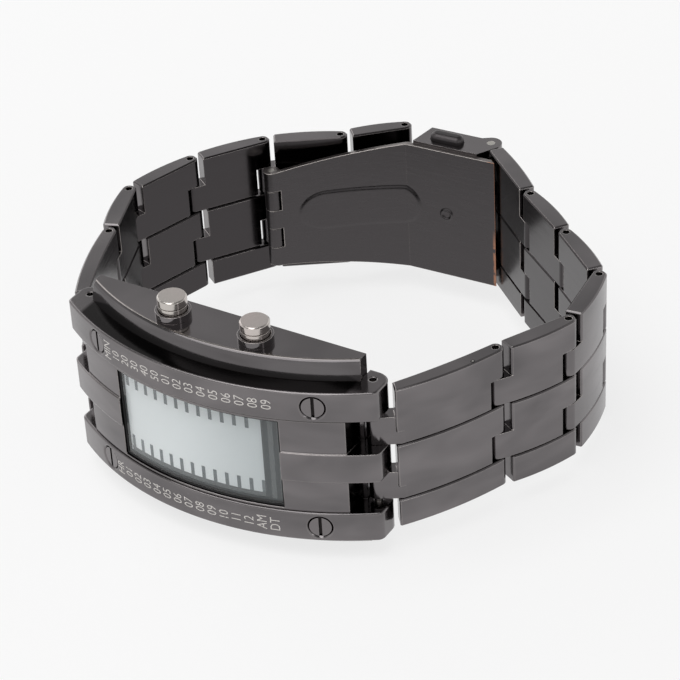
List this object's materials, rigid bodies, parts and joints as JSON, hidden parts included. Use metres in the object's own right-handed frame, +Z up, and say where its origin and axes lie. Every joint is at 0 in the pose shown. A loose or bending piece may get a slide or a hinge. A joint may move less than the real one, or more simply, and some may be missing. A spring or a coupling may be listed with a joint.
{
  "type": "binary watch",
  "caption": "Binary watch with a bowed case, slotted rail screws and side pushers, on a five column steel bracelet closed by a folding clasp with push buttons",
  "frame": {"origin": "The point of the case block's lower flat end face midway between the two lug pins", "axes": "+Z up along the bracelet's width, +X along the case from its left lug to its right lug as seen from the front, +Y from the case towards the clasp"},
  "size_m": [0.0738, 0.0723, 0.0327],
  "materials": {
    "gunmetal": "polished black chrome over steel",
    "pusher_metal": "satin turned metal",
    "screw_metal": "polished black chrome over steel",
    "glass": "clear polished mineral glass",
    "display": "reflective pale grey liquid crystal panel",
    "mask": "printed black film",
    "gasket": "moulded seal rubber",
    "board": "green laminate",
    "cell": "nickel plated can",
    "pin_steel": "ground steel wire",
    "spring_steel": "drawn spring wire"
  },
  "bodies": {
    "case": {"case_middle": "gunmetal", "back_gasket": "gasket", "case_back": "gunmetal", "back_screws": "screw_metal", "lower_rail": "gunmetal", "upper_rail": "gunmetal", "rail_screws": "screw_metal", "display_frame": "gunmetal", "display_glass": "glass", "glass_gasket": "gasket", "display_mask": "mask", "lcd_panel": "display", "connector_strips": "gasket", "circuit_board": "board", "battery": "cell", "battery_clip": "spring_steel", "case_pins": "pin_steel", "pusher_tubes": "gunmetal", "pusher_spring_left": "spring_steel", "pusher_spring_right": "spring_steel"},
    "pusher_left": {"pusher_left": "pusher_metal", "pusher_seal_left": "gasket", "pusher_clip_left": "spring_steel"},
    "pusher_right": {"pusher_right": "pusher_metal", "pusher_seal_right": "gasket", "pusher_clip_right": "spring_steel"},
    "left_link_1": {"left_link_1": "gunmetal", "left_pin_1": "pin_steel"},
    "left_link_2": {"left_link_2": "gunmetal", "left_pin_2": "pin_steel"},
    "left_link_3": {"left_link_3": "gunmetal", "left_pin_3": "pin_steel"},
    "left_link_4": {"left_link_4": "gunmetal", "left_pin_4": "pin_steel"},
    "left_link_5": {"left_link_5": "gunmetal", "left_pin_5": "pin_steel"},
    "left_link_6": {"left_link_6": "gunmetal", "blade_pin": "pin_steel"},
    "right_link_1": {"right_link_1": "gunmetal", "right_pin_1": "pin_steel"},
    "right_link_2": {"right_link_2": "gunmetal", "right_pin_2": "pin_steel"},
    "right_link_3": {"right_link_3": "gunmetal", "right_pin_3": "pin_steel"},
    "right_link_4": {"right_link_4": "gunmetal", "right_pin_4": "pin_steel"},
    "right_link_5": {"right_link_5": "gunmetal", "right_pin_5": "pin_steel"},
    "right_link_6": {"right_link_6": "gunmetal", "box_spring_bar": "pin_steel"},
    "outer_blade": {"outer_blade": "gunmetal"},
    "inner_blade": {"inner_blade": "gunmetal", "fold_pin": "pin_steel", "clasp_box": "gunmetal", "box_pin_ends": "pin_steel", "upper_button_spring": "spring_steel", "lower_button_spring": "spring_steel"},
    "upper_button": {"upper_button": "gunmetal"},
    "lower_button": {"lower_button": "gunmetal"}
  },
  "joints": [
    {"name": "right_hinge_1", "type": "hinge", "parent": "case", "child": "right_link_1", "pos_m": [0.02212, 0, 0.0148], "axis": [0, 0, -1], "range_deg": [0, 33.5]},
    {"name": "right_hinge_2", "type": "hinge", "parent": "right_link_1", "child": "right_link_2", "pos_m": [0.03199, 0.01452, 0.0148], "axis": [0, 0, -1], "range_deg": [0, 21]},
    {"name": "right_hinge_3", "type": "hinge", "parent": "right_link_2", "child": "right_link_3", "pos_m": [0.03737, 0.02477, 0.0148], "axis": [0, 0, -1], "range_deg": [0, 48]},
    {"name": "right_hinge_4", "type": "hinge", "parent": "right_link_3", "child": "right_link_4", "pos_m": [0.03618, 0.03628, 0.0148], "axis": [0, 0, -1], "range_deg": [0, 58]},
    {"name": "right_hinge_5", "type": "hinge", "parent": "right_link_4", "child": "right_link_5", "pos_m": [0.02739, 0.04381, 0.0148], "axis": [0, 0, -1], "range_deg": [0, 22]},
    {"name": "right_hinge_6", "type": "hinge", "parent": "right_link_5", "child": "right_link_6", "pos_m": [0.01822, 0.05085, 0.0148], "axis": [0, 0, -1], "range_deg": [0, 12]},
    {"name": "left_hinge_1", "type": "hinge", "parent": "case", "child": "left_link_1", "pos_m": [-0.02212, 0, 0.0148], "axis": [0, 0, 1], "range_deg": [0, 33.5]},
    {"name": "left_hinge_2", "type": "hinge", "parent": "left_link_1", "child": "left_link_2", "pos_m": [-0.03015, 0.01562, 0.0148], "axis": [0, 0, 1], "range_deg": [0, 21]},
    {"name": "left_hinge_3", "type": "hinge", "parent": "left_link_2", "child": "left_link_3", "pos_m": [-0.03424, 0.02644, 0.0148], "axis": [0, 0, 1], "range_deg": [0, 51]},
    {"name": "left_hinge_4", "type": "hinge", "parent": "left_link_3", "child": "left_link_4", "pos_m": [-0.03105, 0.03756, 0.0148], "axis": [0, 0, 1], "range_deg": [0, 33]},
    {"name": "left_hinge_5", "type": "hinge", "parent": "left_link_4", "child": "left_link_5", "pos_m": [-0.02453, 0.04712, 0.0148], "axis": [0, 0, 1], "range_deg": [0, 24]},
    {"name": "left_hinge_6", "type": "hinge", "parent": "left_link_5", "child": "left_link_6", "pos_m": [-0.01488, 0.05351, 0.0148], "axis": [0, 0, 1], "range_deg": [0, 8]},
    {"name": "clasp_fold", "type": "hinge", "parent": "outer_blade", "child": "inner_blade", "pos_m": [-0.02138, 0.04425, 0.0148], "axis": [0, 0, -1], "range_deg": [0, 165]},
    {"name": "blade_hinge", "type": "hinge", "parent": "left_link_6", "child": "outer_blade", "pos_m": [-0.0077, 0.0602, 0.0148], "axis": [0, 0, 1], "range_deg": [0, 165]},
    {"name": "upper_button_press", "type": "slide", "parent": "inner_blade", "child": "upper_button", "axis": [0, 0, -1], "range_m": [0, 0.0008], "stiffness_N_per_m": 200, "deforming": ["upper_button_spring"]},
    {"name": "lower_button_press", "type": "slide", "parent": "inner_blade", "child": "lower_button", "axis": [0, 0, 1], "range_m": [0, 0.0008], "stiffness_N_per_m": 200, "deforming": ["lower_button_spring"]},
    {"name": "pusher_left_press", "type": "slide", "parent": "case", "child": "pusher_left", "axis": [0, 0, -1], "range_m": [0, 0.0008], "stiffness_N_per_m": 200, "deforming": ["pusher_spring_left"]},
    {"name": "pusher_right_press", "type": "slide", "parent": "case", "child": "pusher_right", "axis": [0, 0, -1], "range_m": [0, 0.0008], "stiffness_N_per_m": 200, "deforming": ["pusher_spring_right"]}
  ],
  "couplings": [
    {"joint": "blade_hinge", "follows": "clasp_fold", "ratio": 1},
    {"joint": "left_hinge_1", "follows": "clasp_fold", "ratio": 0.2},
    {"joint": "right_hinge_1", "follows": "clasp_fold", "ratio": 0.2},
    {"joint": "left_hinge_2", "follows": "right_hinge_2", "ratio": 1},
    {"joint": "left_hinge_3", "follows": "right_hinge_3", "ratio": 1.0625},
    {"joint": "left_hinge_4", "follows": "right_hinge_4", "ratio": 0.5689},
    {"joint": "left_hinge_5", "follows": "right_hinge_5", "ratio": 1.0909},
    {"joint": "left_hinge_6", "follows": "right_hinge_6", "ratio": 0.6666}
  ]
}
